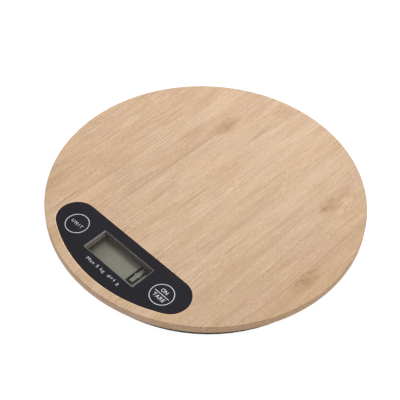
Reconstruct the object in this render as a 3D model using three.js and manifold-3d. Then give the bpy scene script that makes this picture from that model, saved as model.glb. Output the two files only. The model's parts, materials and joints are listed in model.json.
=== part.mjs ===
// Round kitchen scale: a bamboo weighing board screwed onto a shallow black housing that stands on four
// load cells. The display and the two keys sit in the board, under a thin black overlay at its front edge.
//
// Millimetres, +Z up. The scale stands on z = 0, its centre on the Z axis, its front towards -Y.

import * as THREE from 'three';
import { mergeVertices } from 'three/addons/utils/BufferGeometryUtils.js';
import Module from 'manifold-3d';

const wasm = await Module();
wasm.setup();

// ---- Driving dimensions ----

const FIT = 0.2; // clearance left between pieces that meet
const HAIR = 0.1; // the gap under a piece that lies on another
const SUNK = 0.3; // how far a post or rib is sunk into the floor that it stands on
const BEYOND = 1; // how far a cutting tool runs past the face that it opens

const TOTAL_HEIGHT = 20;
const PLATTER = { radius: 100, thickness: 5.4, easeTop: 0.4, easeBottom: 0.4 };
const HOUSING = { radius: 93.6, footRadius: 93, lift: 1.5, wall: 2, floor: 1.8, corner: 1.5, fillet: 0.8 };
const OVERLAY = { thickness: 0.4, innerEdgeY: -58, outerRadius: 94.1, endRadius: 12.6 };
const WINDOW = { y: -73.6, halfX: 21.4, halfY: 8.9, corner: 0.9, ledge: 0.5 };
const KEY = { x: 36.8, y: -73.5, filmRadius: 7, boreRadius: 7.6, boreFloor: 17.7, stemRadius: 2.2 };
const LCD = { y: -72.7, halfX: 22, halfY: 10, thickness: 2.4, frameWall: 1.2 };
const PCB = { halfX: 43, backEdgeY: -61, frontRadius: 86, bottom: 9.4, thickness: 1.2 };
const FOOT = { x: 48, y: 46, padRadius: 11, discRadius: 9.6, stemRadius: 3.6, bossRadius: 1.9 };
const CELL = { half: 13, thickness: 1.6, bottom: 7.35, holeRadius: 2.3 };
const BAY = { y: 12, halfX: 27.4, halfY: 11.2, wall: 1.4 };
const BATTERY = { radius: 5.1, length: 44.5, edge: 0.3, spacing: 10.7, axisZ: 8.9 };

// ---- Heights that follow from them ----

const PLATTER_BOTTOM = TOTAL_HEIGHT - PLATTER.thickness;
const HOUSING_TOP = PLATTER_BOTTOM - 0.3;
const FLOOR_TOP = HOUSING.lift + HOUSING.floor;
const OVERLAY_BOTTOM = TOTAL_HEIGHT - OVERLAY.thickness;
const POCKET_FLOOR = OVERLAY_BOTTOM - HAIR;
const PCB_TOP = PCB.bottom + PCB.thickness;
const LCD_TOP = PLATTER_BOTTOM - FIT;
const LCD_BOTTOM = LCD_TOP - LCD.thickness;
const CELL_TOP = CELL.bottom + CELL.thickness;

// ---- Shapes ----

/** Faces out, whichever way its outline ran. */
function facingOut(geometry) {
  const position = geometry.attributes.position;
  const index = geometry.index;
  const [a, b, c] = [new THREE.Vector3(), new THREE.Vector3(), new THREE.Vector3()];
  let volume = 0;
  for (let i = 0; i < index.count; i += 3) {
    a.fromBufferAttribute(position, index.getX(i));
    b.fromBufferAttribute(position, index.getX(i + 1));
    c.fromBufferAttribute(position, index.getX(i + 2));
    volume += a.dot(b.cross(c));
  }
  if (volume < 0) {
    index.array.reverse();
  }
  return geometry;
}

/** One closed mesh: shared vertices merged, and triangles that fell to a line dropped. */
function closed(geometry) {
  geometry.deleteAttribute('normal');
  geometry.deleteAttribute('uv');
  const merged = mergeVertices(geometry, 1e-4);
  const kept = [];
  for (let i = 0; i < merged.index.count; i += 3) {
    const [a, b, c] = [0, 1, 2].map((corner) => merged.index.getX(i + corner));
    if (a !== b && b !== c && c !== a) {
      kept.push(a, b, c);
    }
  }
  merged.setIndex(new THREE.BufferAttribute(Uint32Array.from(kept), 1));
  return facingOut(merged);
}

function manifoldOf(geometry) {
  const vertProperties = Float32Array.from(geometry.attributes.position.array);
  const triVerts = Uint32Array.from(geometry.index.array);
  return new wasm.Manifold(new wasm.Mesh({ numProp: 3, vertProperties, triVerts }));
}

function geometryOf(manifold) {
  const { vertProperties, triVerts } = manifold.getMesh();
  const geometry = new THREE.BufferGeometry();
  geometry.setAttribute('position', new THREE.BufferAttribute(vertProperties, 3));
  geometry.setIndex(new THREE.BufferAttribute(triVerts, 1));
  return geometry;
}

function combine(operation, geometries) {
  const [first, ...others] = geometries.map(manifoldOf);
  return geometryOf(others.reduce((made, next) => made[operation](next), first));
}

const join = (...geometries) => combine('add', geometries);
const cut = (body, ...tools) => combine('subtract', [body, ...tools]);
const moved = (geometry, x, y, z = 0) => geometry.clone().translate(x, y, z);

/** A box between two values on each axis. */
function block([x0, x1], [y0, y1], [z0, z1]) {
  const box = new THREE.BoxGeometry(x1 - x0, y1 - y0, z1 - z0);
  return closed(box.translate((x0 + x1) / 2, (y0 + y1) / 2, (z0 + z1) / 2));
}

/** A profile of [radius, z] points, turned about the Z axis. */
function turned(profile, segments) {
  const points = profile.map(([radius, z]) => new THREE.Vector2(radius, z));
  return closed(new THREE.LatheGeometry(points, segments).rotateX(Math.PI / 2));
}

function disc(radius, low, high, segments = 24) {
  return turned([[0, low], [radius, low], [radius, high], [0, high]], segments);
}

/** A flat shape made thick between two heights. */
function plate(shape, low, high, curveSegments = 8) {
  const options = { depth: high - low, bevelEnabled: false, curveSegments };
  return closed(new THREE.ExtrudeGeometry(shape, options).translate(0, 0, low));
}

/** A round wire along a smooth route of [x, y, z] points. */
function wire(route, radius, steps, sides = 8) {
  const section = new THREE.Shape();
  for (let side = 0; side < sides; side += 1) {
    const angle = (2 * Math.PI * side) / sides;
    section[side ? 'lineTo' : 'moveTo'](radius * Math.cos(angle), radius * Math.sin(angle));
  }
  const extrudePath = new THREE.CatmullRomCurve3(route.map((point) => new THREE.Vector3(...point)));
  return closed(new THREE.ExtrudeGeometry(section, { extrudePath, steps }));
}

/** Points of a quarter round on a profile, about a centre, from one angle to another in degrees. */
function roundCorner([centreR, centreZ], radius, from, to, steps) {
  return Array.from({ length: steps + 1 }, (_, step) => {
    const angle = THREE.MathUtils.degToRad(from + ((to - from) * step) / steps);
    return [centreR + radius * Math.cos(angle), centreZ + radius * Math.sin(angle)];
  });
}

function roundedRectangle(halfX, halfY, corner, centreY = 0) {
  const shape = new THREE.Shape();
  const [x, y] = [halfX - corner, halfY - corner];
  shape.absarc(x, centreY + y, corner, 0, Math.PI / 2);
  shape.absarc(-x, centreY + y, corner, Math.PI / 2, Math.PI);
  shape.absarc(-x, centreY - y, corner, Math.PI, 1.5 * Math.PI);
  shape.absarc(x, centreY - y, corner, 1.5 * Math.PI, 2 * Math.PI);
  return shape;
}

/** The overlay's outline: a straight inner edge, an arc that follows the board's rim, and round ends. */
function overlayOutline(grow = 0) {
  const endY = OVERLAY.innerEdgeY - OVERLAY.endRadius;
  const endX = Math.sqrt((OVERLAY.outerRadius - OVERLAY.endRadius) ** 2 - endY ** 2);
  const meet = Math.atan2(endY, endX);
  const end = OVERLAY.endRadius + grow;
  const shape = new THREE.Shape();
  shape.absarc(endX, endY, end, Math.PI / 2, meet, true);
  shape.absarc(0, 0, OVERLAY.outerRadius + grow, meet, -Math.PI - meet, true);
  shape.absarc(-endX, endY, end, Math.PI - meet, Math.PI / 2, true);
  return shape;
}

// ---- The scene graph ----

const scale = new THREE.Group();

const finishes = {
  bamboo: { color: 0xd8ba9a, roughness: 0.55, metalness: 0 },
  overlay: { color: 0x242328, roughness: 0.4, metalness: 0 },
  clear: { color: 0xdfe6e2, roughness: 0.1, metalness: 0, transparent: true, opacity: 0.35 },
  lcd: { color: 0x7f8773, roughness: 0.25, metalness: 0 },
  blackPlastic: { color: 0x1a1a1c, roughness: 0.5, metalness: 0 },
  whitePlastic: { color: 0xe6e6e2, roughness: 0.5, metalness: 0 },
  rubber: { color: 0x2a2a2c, roughness: 0.9, metalness: 0 },
  zebra: { color: 0x8d8f96, roughness: 0.8, metalness: 0 },
  circuit: { color: 0x1f5a34, roughness: 0.5, metalness: 0 },
  epoxy: { color: 0x0c0c0d, roughness: 0.35, metalness: 0 },
  steel: { color: 0xb4b6ba, roughness: 0.35, metalness: 1 },
  cellAlloy: { color: 0xc2c4c8, roughness: 0.4, metalness: 1 },
  batteryCase: { color: 0x3b5f4a, roughness: 0.35, metalness: 0.3 },
  redWire: { color: 0xa02420, roughness: 0.6, metalness: 0 },
  blackWire: { color: 0x18181a, roughness: 0.6, metalness: 0 },
  whiteWire: { color: 0xd8d8d4, roughness: 0.6, metalness: 0 },
};

function add(name, finish, geometry, parent = scale) {
  geometry.computeVertexNormals();
  const mesh = new THREE.Mesh(geometry, new THREE.MeshStandardMaterial(finishes[finish]));
  mesh.name = name;
  parent.add(mesh);
  return mesh;
}

function groupAt(x, y, z = 0) {
  const group = new THREE.Group();
  group.position.set(x, y, z);
  scale.add(group);
  return group;
}

const SIDES = [['left', -1], ['right', 1]];
const CORNERS = [
  ['front_left', -1, -1],
  ['front_right', 1, -1],
  ['rear_left', -1, 1],
  ['rear_right', 1, 1],
];

// ---- Screws: a domed head over a pointed shank, with a cross recess ----

function screw({ headRadius, headHeight, shankRadius, length }) {
  const recess = { arm: headRadius * 0.55, half: headRadius * 0.12, depth: headHeight * 0.6 };
  const point = shankRadius * 1.5;
  const body = turned([
    [0, -length],
    [shankRadius, point - length],
    [shankRadius, 0],
    [headRadius, 0],
    [headRadius, headHeight * 0.6],
    [headRadius * 0.6, headHeight],
    [0, headHeight],
  ], 12);
  const depth = [headHeight - recess.depth, headHeight + BEYOND];
  return cut(
    body,
    block([-recess.arm, recess.arm], [-recess.half, recess.half], depth),
    block([-recess.half, recess.half], [-recess.arm, recess.arm], depth),
  );
}

const HOUSING_SCREW = { headRadius: 2.8, headHeight: 1.8, shankRadius: 1.4, length: 9 };
const HOUSING_SCREWS = { circle: 81, angles: [-28, 28, 76, 104, 152, 208], seatZ: 9.5, bossRadius: 4.2 };
const HOUSING_SCREW_HOLE = { head: 3.2, shank: 1.7, pilotTop: 18.9 };

const housingScrewPlaces = HOUSING_SCREWS.angles.map((degrees) => {
  const angle = THREE.MathUtils.degToRad(degrees);
  return [HOUSING_SCREWS.circle * Math.cos(angle), HOUSING_SCREWS.circle * Math.sin(angle)];
});

function addHousingScrews() {
  housingScrewPlaces.forEach(([x, y], index) => {
    const mesh = add(`housing_screw_${index + 1}`, 'steel', screw(HOUSING_SCREW));
    mesh.position.set(x, y, HOUSING_SCREWS.seatZ - HAIR);
    mesh.rotation.x = Math.PI;
  });
}

// ---- Bamboo board ----

/** Everything that passes through the board under one key. */
function keyBore(x) {
  return join(
    moved(disc(KEY.boreRadius, KEY.boreFloor, TOTAL_HEIGHT, 32), x, KEY.y),
    moved(disc(KEY.stemRadius + 0.7, PLATTER_BOTTOM - BEYOND, TOTAL_HEIGHT), x, KEY.y),
  );
}

function addPlatter() {
  const { radius, easeTop, easeBottom } = PLATTER;
  const blank = turned([
    [0, PLATTER_BOTTOM],
    ...roundCorner([radius - easeBottom, PLATTER_BOTTOM + easeBottom], easeBottom, -90, 0, 1),
    ...roundCorner([radius - easeTop, TOTAL_HEIGHT - easeTop], easeTop, 0, 90, 2),
    [0, TOTAL_HEIGHT],
  ], 96);
  const pocket = plate(overlayOutline(0.15), POCKET_FLOOR, TOTAL_HEIGHT + BEYOND, 10);
  const opening = roundedRectangle(
    WINDOW.halfX - WINDOW.ledge,
    WINDOW.halfY - WINDOW.ledge,
    WINDOW.corner,
    WINDOW.y,
  );
  const pilot = disc(HOUSING_SCREW_HOLE.shank, PLATTER_BOTTOM - BEYOND, HOUSING_SCREW_HOLE.pilotTop, 8);
  const platter = cut(
    blank,
    pocket,
    plate(opening, PLATTER_BOTTOM - BEYOND, TOTAL_HEIGHT, 3),
    keyBore(-KEY.x),
    keyBore(KEY.x),
    ...housingScrewPlaces.map(([x, y]) => moved(pilot, x, y)),
  );
  add('bamboo_platter', 'bamboo', platter);
}

// ---- Overlay, window and keys ----

function addOverlay() {
  const film = plate(overlayOutline(), OVERLAY_BOTTOM, TOTAL_HEIGHT, 10);
  const windowCut = roundedRectangle(WINDOW.halfX + HAIR, WINDOW.halfY + HAIR, WINDOW.corner, WINDOW.y);
  const cutHeights = [OVERLAY_BOTTOM - BEYOND, TOTAL_HEIGHT + BEYOND];
  const keyCut = disc(KEY.filmRadius + FIT, ...cutHeights, 40);
  const overlay = cut(
    film,
    plate(windowCut, ...cutHeights, 3),
    ...SIDES.map(([, side]) => moved(keyCut, side * KEY.x, KEY.y)),
  );
  add('control_overlay', 'overlay', overlay);
  const pane = roundedRectangle(WINDOW.halfX - HAIR, WINDOW.halfY - HAIR, WINDOW.corner, WINDOW.y);
  add('display_window', 'clear', plate(pane, OVERLAY_BOTTOM, TOTAL_HEIGHT, 3));
}

const PLUNGER = { radius: 6.8, bottom: 15.3, plateBottom: KEY.boreFloor + 0.6, top: OVERLAY_BOTTOM - HAIR };
const SWITCH = { half: 3, top: 14, wellFloor: 11.5, stemRadius: 1.7, stemBottom: 12, stemTop: 15.1 };

/** A film disc, the plunger under it, and the stem of the switch that the plunger presses. */
function addKey(name, side) {
  const key = groupAt(side * KEY.x, KEY.y);
  add(`${name}_key_film`, 'overlay', disc(KEY.filmRadius, OVERLAY_BOTTOM, TOTAL_HEIGHT, 40), key);
  const plunger = turned([
    [0, PLUNGER.bottom],
    [KEY.stemRadius, PLUNGER.bottom],
    [KEY.stemRadius, PLUNGER.plateBottom],
    [PLUNGER.radius, PLUNGER.plateBottom],
    [PLUNGER.radius, PLUNGER.top],
    [0, PLUNGER.top],
  ], 20);
  add(`${name}_key_plunger`, 'whitePlastic', plunger, key);
  const stem = disc(SWITCH.stemRadius, SWITCH.stemBottom, SWITCH.stemTop, 16);
  add(`${name}_switch_stem`, 'blackPlastic', stem, key);
  const sides = [-SWITCH.half, SWITCH.half];
  const well = disc(SWITCH.stemRadius + FIT, SWITCH.wellFloor, SWITCH.top + BEYOND, 16);
  const body = cut(block(sides, sides, [PCB_TOP + HAIR, SWITCH.top]), well);
  add(`${name}_switch_body`, 'blackPlastic', body, key);
}

// ---- Display and circuit board ----

const REFLECTOR = { halfY: 7.8, bottom: PCB_TOP + 0.3, top: PCB_TOP + 0.9 };
const ZEBRA = { halfY: 0.8, offset: 8.9 };

function addDisplay() {
  const display = groupAt(0, LCD.y);
  const { halfX, halfY, frameWall } = LCD;
  const glass = block([-halfX, halfX], [-halfY, halfY], [LCD_BOTTOM, LCD_TOP]);
  add('lcd_glass', 'lcd', glass, display);
  const outer = roundedRectangle(halfX + frameWall + FIT, halfY + frameWall + FIT, 0.8);
  const inner = roundedRectangle(halfX + FIT, halfY + FIT, 0.3);
  const frame = cut(
    plate(outer, PCB_TOP + HAIR, LCD_TOP, 2),
    plate(inner, PCB_TOP - BEYOND, LCD_TOP + BEYOND, 2),
  );
  add('lcd_frame', 'whitePlastic', frame, display);
  const along = [1 - halfX, halfX - 1];
  const backing = block(along, [-REFLECTOR.halfY, REFLECTOR.halfY], [REFLECTOR.bottom, REFLECTOR.top]);
  add('lcd_reflector', 'whitePlastic', backing, display);
  const strip = block(along, [-ZEBRA.halfY, ZEBRA.halfY], [PCB_TOP + HAIR, LCD_BOTTOM - HAIR]);
  for (const [name, side] of [['front', -1], ['rear', 1]]) {
    add(`zebra_strip_${name}`, 'zebra', strip.clone(), display).position.y = side * ZEBRA.offset;
  }
}

const PCB_SCREW = { headRadius: 2.5, headHeight: 1.4, shankRadius: 1.1, length: 5 };
const PCB_SCREW_PLACE = { x: 29, y: -65, holeRadius: 1.5 };

function addCircuitBoard() {
  const { halfX, backEdgeY, frontRadius } = PCB;
  const cornerAngle = Math.acos(halfX / frontRadius);
  const outline = new THREE.Shape();
  outline.moveTo(-halfX, backEdgeY);
  outline.lineTo(halfX, backEdgeY);
  outline.absarc(0, 0, frontRadius, -cornerAngle, cornerAngle - Math.PI, true);
  const hole = disc(PCB_SCREW_PLACE.holeRadius, PCB.bottom - BEYOND, PCB_TOP + BEYOND, 12);
  const holes = SIDES.map(([, side]) => moved(hole, side * PCB_SCREW_PLACE.x, PCB_SCREW_PLACE.y));
  add('main_pcb', 'circuit', cut(plate(outline, PCB.bottom, PCB_TOP), ...holes));
  const blob = turned([[0, -1.2], [3.2, -1], [4.6, -0.5], [5, 0], [0, 0]], 20);
  add('controller_chip', 'epoxy', blob).position.set(0, LCD.y, PCB.bottom - HAIR);
  for (const [name, side] of SIDES) {
    const fixing = add(`pcb_screw_${name}`, 'steel', screw(PCB_SCREW));
    fixing.position.set(side * PCB_SCREW_PLACE.x, PCB_SCREW_PLACE.y, PCB_TOP + HAIR);
  }
}

// ---- Feet and load cells ----

const FOOT_SCREW = { headRadius: 3, headHeight: 1.3, shankRadius: 0.85, length: 4.6 };
const FOOT_HEIGHTS = {
  bottom: 1.5,
  discTop: 3.2,
  boreFloor: 4,
  shoulder: CELL.bottom - 0.35,
  top: CELL_TOP + 0.05,
};
const PAD = { ease: 0.4, seat: 1.3, top: 2.4 };
const TONGUE = { from: -5, to: 7.6, half: 7.6, slot: 1.4 };
const RETAINER = { half: 14.7, wall: 1.4, bottom: 6, top: 10.4, windowHalf: 9.5, notchHalf: 2 };

/** A flat spring plate: a square rim, with a tongue cut free on three sides that the foot pushes up. */
function loadCell() {
  const square = [-CELL.half, CELL.half];
  const through = [CELL.bottom - BEYOND, CELL_TOP + BEYOND];
  const slotSide = TONGUE.half + TONGUE.slot;
  const slot = cut(
    block([TONGUE.from, TONGUE.to + TONGUE.slot], [-slotSide, slotSide], through),
    block(
      [TONGUE.from - BEYOND, TONGUE.to],
      [-TONGUE.half, TONGUE.half],
      [through[0] - BEYOND, through[1] + BEYOND],
    ),
  );
  return cut(block(square, square, [CELL.bottom, CELL_TOP]), slot, disc(CELL.holeRadius, ...through, 16));
}

/** A cap over the load cell's rim, open over the tongue and notched for the wires. */
function cellRetainer() {
  const { half, wall, bottom, top, windowHalf, notchHalf } = RETAINER;
  const inner = half - wall;
  return cut(
    block([-half, half], [-half, half], [bottom, top]),
    block([-inner, inner], [-inner, inner], [bottom - BEYOND, CELL_TOP + FIT]),
    block([-windowHalf, windowHalf], [-windowHalf, windowHalf], [bottom, top + BEYOND]),
    block([-half - BEYOND, -inner + BEYOND], [-notchHalf, notchHalf], [bottom - BEYOND, CELL_TOP + FIT]),
  );
}

function footPad() {
  return turned([
    [0, 0],
    [FOOT.padRadius - PAD.ease, 0],
    [FOOT.padRadius, PAD.ease],
    [FOOT.padRadius, PAD.top],
    [FOOT.discRadius + FIT, PAD.top],
    [FOOT.discRadius + FIT, PAD.seat],
    [0, PAD.seat],
  ], 24);
}

/** A disc on a stem: the stem's shoulder bears on the load cell's tongue, its boss passes through it. */
function foot() {
  const { bottom, discTop, shoulder, top, boreFloor } = FOOT_HEIGHTS;
  const boreRadius = FOOT_SCREW.shankRadius + FIT;
  return turned([
    [0, bottom],
    [FOOT.discRadius, bottom],
    [FOOT.discRadius, discTop],
    [FOOT.stemRadius, discTop],
    [FOOT.stemRadius, shoulder],
    [FOOT.bossRadius, shoulder],
    [FOOT.bossRadius, top],
    [boreRadius, top],
    [boreRadius, boreFloor],
    [0, boreFloor],
  ], 16);
}

function addCorner(name, sideX, sideY) {
  const corner = groupAt(sideX * FOOT.x, sideY * FOOT.y);
  corner.rotation.z = sideX > 0 ? 0 : Math.PI;
  add(`foot_pad_${name}`, 'rubber', footPad(), corner);
  add(`foot_${name}`, 'blackPlastic', foot(), corner);
  add(`foot_screw_${name}`, 'steel', screw(FOOT_SCREW), corner).position.z = FOOT_HEIGHTS.top + 0.25;
  add(`load_cell_${name}`, 'cellAlloy', loadCell(), corner);
  add(`load_cell_retainer_${name}`, 'whitePlastic', cellRetainer(), corner);
}

// ---- Wiring: from each load cell and from the battery contacts to the underside of the circuit board ----

const LOOM_RADIUS = 0.8;
const LEAD_RADIUS = 0.6;
const PCB_JOINT_Z = PCB.bottom - 1.1;

const FRONT_LOOM = [
  [34.2, -46, 8.1],
  [31.6, -46.8, 8],
  [31.4, -56, 8],
  [33.6, -64.4, PCB_JOINT_Z],
];
const REAR_LOOM = [
  [34.2, 46, 8.1],
  [31.4, 44.6, 6.8],
  [31, 34, 6],
  [35.5, 22, 6],
  [36.5, 0, 6],
  [35.5, -22, 6],
  [31.4, -35, 6],
  [30.4, -50, 6.2],
  [26.6, -60, 7.2],
  [25, -63.6, PCB_JOINT_Z],
];
const NEGATIVE_LEAD = [
  [26.8, BAY.y - BATTERY.spacing / 2, 12.6],
  [30.2, BAY.y - BATTERY.spacing / 2, 12],
  [31.2, 0, 7.5],
  [31, -8, 6],
  [29, -24, 6],
  [27.4, -36, 6],
  [24.4, -52, 6.4],
  [19, -62.6, PCB_JOINT_Z],
];
const POSITIVE_LEAD = [
  [26.8, BAY.y + BATTERY.spacing / 2, 12.6],
  [30.4, BAY.y + BATTERY.spacing / 2, 12],
  [33.2, 9, 7.5],
  [33.4, -8, 6],
  [31.4, -24, 6],
  [29.4, -36, 6],
  [27.2, -50, 6.3],
  [22, -63, PCB_JOINT_Z],
];

function addWiring() {
  for (const [name, side] of SIDES) {
    const onSide = (route) => route.map(([x, y, z]) => [side * x, y, z]);
    add(`load_cell_wires_front_${name}`, 'whiteWire', wire(onSide(FRONT_LOOM), LOOM_RADIUS, 10));
    add(`load_cell_wires_rear_${name}`, 'whiteWire', wire(onSide(REAR_LOOM), LOOM_RADIUS, 24));
  }
  add('battery_lead_negative', 'blackWire', wire(NEGATIVE_LEAD, LEAD_RADIUS, 20));
  add('battery_lead_positive', 'redWire', wire(POSITIVE_LEAD, LEAD_RADIUS, 20));
}

// ---- Battery bay: two AAA cells side by side, end for end, above a hinged door ----

const CONTACT = { inner: 25.9, outer: 26.3, low: 4.7, high: 13, halfWidth: 4.6, bossRadius: 2.2 };
const COIL = { turns: 3, wideRadius: 3.4, narrowRadius: 2, wireRadius: 0.35, length: 5 };
const CELL_TIP_X = 24;

const NUB = { radius: 1.9, length: 1.2 };

/** The cell's axis runs along Z here, from its flat end to its nub. */
function battery() {
  const { radius, length, edge } = BATTERY;
  const shoulder = length - NUB.length;
  return turned([
    [0, 0],
    [radius - edge, 0],
    [radius, edge],
    [radius, shoulder - edge],
    [radius - edge, shoulder],
    [NUB.radius, shoulder],
    [NUB.radius, length],
    [0, length],
  ], 20);
}

/** A conical wire spring that stands on the contact plate and points towards -X. */
function contactCoil(y) {
  const perTurn = 10;
  const count = COIL.turns * perTurn;
  const route = Array.from({ length: count + 1 }, (_, step) => {
    const share = step / count;
    const radius = COIL.wideRadius + (COIL.narrowRadius - COIL.wideRadius) * share;
    const angle = (2 * Math.PI * step) / perTurn;
    const x = CONTACT.inner + HAIR - COIL.length * share;
    return [x, y + radius * Math.cos(angle), BATTERY.axisZ + radius * Math.sin(angle)];
  });
  return wire(route, COIL.wireRadius, count, 6);
}

/** A pressed boss on the contact plate that meets the nub of the cell. */
function contactBoss(y) {
  const tip = CELL_TIP_X + 0.3;
  const boss = disc(CONTACT.bossRadius, 0, CONTACT.inner + HAIR - tip, 16).rotateY(Math.PI / 2);
  return moved(boss, tip, y, BATTERY.axisZ);
}

function contactPlate([y0, y1]) {
  return block([CONTACT.inner, CONTACT.outer], [y0, y1], [CONTACT.low, CONTACT.high]);
}

function addBatteryBay() {
  const bay = groupAt(0, BAY.y);
  const offset = BATTERY.spacing / 2;
  const near = [-offset - CONTACT.halfWidth, -offset + CONTACT.halfWidth];
  const far = [offset - CONTACT.halfWidth, offset + CONTACT.halfWidth];
  add('contact_negative', 'steel', join(contactPlate(near), contactCoil(-offset)), bay);
  add('contact_positive', 'steel', join(contactPlate(far), contactBoss(offset)), bay);
  const bridge = join(contactPlate([near[0], far[1]]), contactCoil(-offset), contactBoss(offset));
  add('contact_bridge', 'steel', bridge, bay).rotation.z = Math.PI;
  for (const [name, side] of [['front', -1], ['rear', 1]]) {
    const cell = add(`battery_${name}`, 'batteryCase', battery(), bay);
    cell.position.set(side * (BATTERY.length - CELL_TIP_X) * -1, side * offset, BATTERY.axisZ);
    cell.rotation.y = (side * Math.PI) / 2;
  }
}

const DOOR = { hingeX: -26.1, hingeZ: 2.6, thickness: 1.6, gap: 0.25 };
const DOOR_HINGE = { barrelRadius: 1.1, pinRadius: 0.55, pinLength: 1.1, play: 0.15 };
const LATCH = { length: 8, halfY: 4.5, slot: 0.8, grooves: [2, 3.6, 5.2], grooveHalf: 0.4, grooveDepth: 0.4 };

/** Two slots that free the sprung tongue of the latch from the door's edge. */
function latchSlots(endX, heights) {
  return SIDES.map(([, side]) => {
    const edges = [side * LATCH.halfY, side * (LATCH.halfY + LATCH.slot)].sort((a, b) => a - b);
    return block([endX - LATCH.length, endX + BEYOND], edges, heights);
  });
}

/** Thumb grooves across the latch, on the door's outer face. */
function latchGrooves(endX, bottom) {
  const halfY = LATCH.halfY - LATCH.slot;
  return LATCH.grooves.map((inset) => {
    const along = [endX - inset - LATCH.grooveHalf, endX - inset + LATCH.grooveHalf];
    return block(along, [-halfY, halfY], [bottom - BEYOND, bottom + LATCH.grooveDepth]);
  });
}

/** The door about its own hinge axis: a plate with a rolled edge, two pins and a sprung thumb latch. */
function addBatteryDoor() {
  const door = groupAt(DOOR.hingeX, BAY.y, DOOR.hingeZ);
  const halfY = BAY.halfY - DOOR.gap;
  const endX = BAY.halfX - DOOR.gap - DOOR.hingeX;
  const bottom = -DOOR_HINGE.barrelRadius;
  const top = bottom + DOOR.thickness;
  const barrel = disc(DOOR_HINGE.barrelRadius, -halfY, halfY, 20).rotateX(Math.PI / 2);
  const pinEnd = halfY + DOOR_HINGE.pinLength;
  const pins = disc(DOOR_HINGE.pinRadius, -pinEnd, pinEnd, 12).rotateX(Math.PI / 2);
  const leaf = block([0, endX], [-halfY, halfY], [bottom, top]);
  const slots = latchSlots(endX, [bottom - BEYOND, top + BEYOND]);
  const body = cut(join(leaf, barrel, pins), ...slots, ...latchGrooves(endX, bottom));
  add('battery_door', 'blackPlastic', body, door);
}

// ---- Bottom housing ----

/** The tray: a flat floor, a rounded lower edge and a wall that leans out slightly towards its rim. */
function tray() {
  const { radius, footRadius, lift, wall, corner, fillet } = HOUSING;
  return turned([
    [0, lift],
    ...roundCorner([footRadius - corner, lift + corner], corner, -90, 0, 2),
    [radius, HOUSING_TOP],
    [radius - wall, HOUSING_TOP],
    [footRadius - wall, FLOOR_TOP + fillet],
    [footRadius - wall - fillet, FLOOR_TOP],
    [0, FLOOR_TOP],
  ], 80);
}

const FOOT_CUP = { radius: 14.6, top: 5.8, recessRadius: 12.2, ceiling: 4.2, holeRadius: 4.4 };
const CELL_POST = { offset: 11.2, radius: 1.6 };
const PCB_POST = { radius: 3, boreRadius: 1.35, boreFloor: 5, propRadius: 2 };
const LEAD_NOTCH = { half: 1.3, bottom: 10.5 };
const RIB = { inner: 30, outer: 88, halfWidth: 0.6, top: 4.6, angles: [0, 60, 120, 180] };

function footCup(sideX, sideY) {
  const place = [sideX * FOOT.x, sideY * FOOT.y];
  const post = disc(CELL_POST.radius, FLOOR_TOP - SUNK, CELL.bottom - FIT, 8);
  const posts = CORNERS.map(([, x, y]) => moved(post, x * CELL_POST.offset, y * CELL_POST.offset));
  return moved(join(disc(FOOT_CUP.radius, HOUSING.lift, FOOT_CUP.top, 24), ...posts), ...place);
}

function footRecess(sideX, sideY) {
  const recess = join(
    disc(FOOT_CUP.recessRadius, HOUSING.lift - BEYOND, FOOT_CUP.ceiling, 28),
    disc(FOOT_CUP.holeRadius, HOUSING.lift - BEYOND, FOOT_CUP.top + BEYOND, 16),
  );
  return moved(recess, sideX * FOOT.x, sideY * FOOT.y);
}

function rib(degrees) {
  const { inner, outer, halfWidth, top } = RIB;
  const along = block([inner, outer], [-halfWidth, halfWidth], [FLOOR_TOP - SUNK, top]);
  return along.rotateZ(THREE.MathUtils.degToRad(degrees));
}

function pcbPosts() {
  const post = disc(PCB_POST.radius, FLOOR_TOP - SUNK, PCB.bottom - HAIR, 12);
  const prop = disc(PCB_POST.propRadius, FLOOR_TOP - SUNK, PCB.bottom - HAIR, 8);
  return SIDES.flatMap(([, side]) => [
    moved(post, side * PCB_SCREW_PLACE.x, PCB_SCREW_PLACE.y),
    moved(prop, side * KEY.x, KEY.y),
  ]);
}

function pcbBores() {
  const bore = disc(PCB_POST.boreRadius, PCB_POST.boreFloor, PCB.bottom + BEYOND, 12);
  return SIDES.map(([, side]) => moved(bore, side * PCB_SCREW_PLACE.x, PCB_SCREW_PLACE.y));
}

function screwBosses() {
  const boss = disc(HOUSING_SCREWS.bossRadius, HOUSING.lift, HOUSING_TOP, 14);
  return housingScrewPlaces.map(([x, y]) => moved(boss, x, y));
}

function screwBores() {
  const bore = join(
    disc(HOUSING_SCREW_HOLE.head, HOUSING.lift - BEYOND, HOUSING_SCREWS.seatZ, 16),
    disc(HOUSING_SCREW_HOLE.shank, HOUSING.lift, HOUSING_TOP + BEYOND, 8),
  );
  return housingScrewPlaces.map(([x, y]) => moved(bore, x, y));
}

function bayBlock() {
  const [x, y] = [BAY.halfX + BAY.wall, BAY.halfY + BAY.wall];
  return block([-x, x], [BAY.y - y, BAY.y + y], [HOUSING.lift, HOUSING_TOP]);
}

/** The inside of the battery bay, the two bearings of its door, and the notches for its two leads. */
function bayHollows() {
  const { y, halfX, halfY, wall } = BAY;
  const above = HOUSING_TOP + BEYOND;
  const hollow = block([-halfX, halfX], [y - halfY, y + halfY], [HOUSING.lift - BEYOND, above]);
  const reach = halfY + DOOR_HINGE.pinLength;
  const bearings = disc(DOOR_HINGE.pinRadius + DOOR_HINGE.play, -reach, reach, 12).rotateX(Math.PI / 2);
  const notches = SIDES.map(([, side]) => {
    const centre = y + (side * BATTERY.spacing) / 2;
    const across = [centre - LEAD_NOTCH.half, centre + LEAD_NOTCH.half];
    return block([halfX - BEYOND, halfX + wall + BEYOND], across, [LEAD_NOTCH.bottom, above]);
  });
  return [hollow, moved(bearings, DOOR.hingeX, y, DOOR.hingeZ), ...notches];
}

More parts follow.
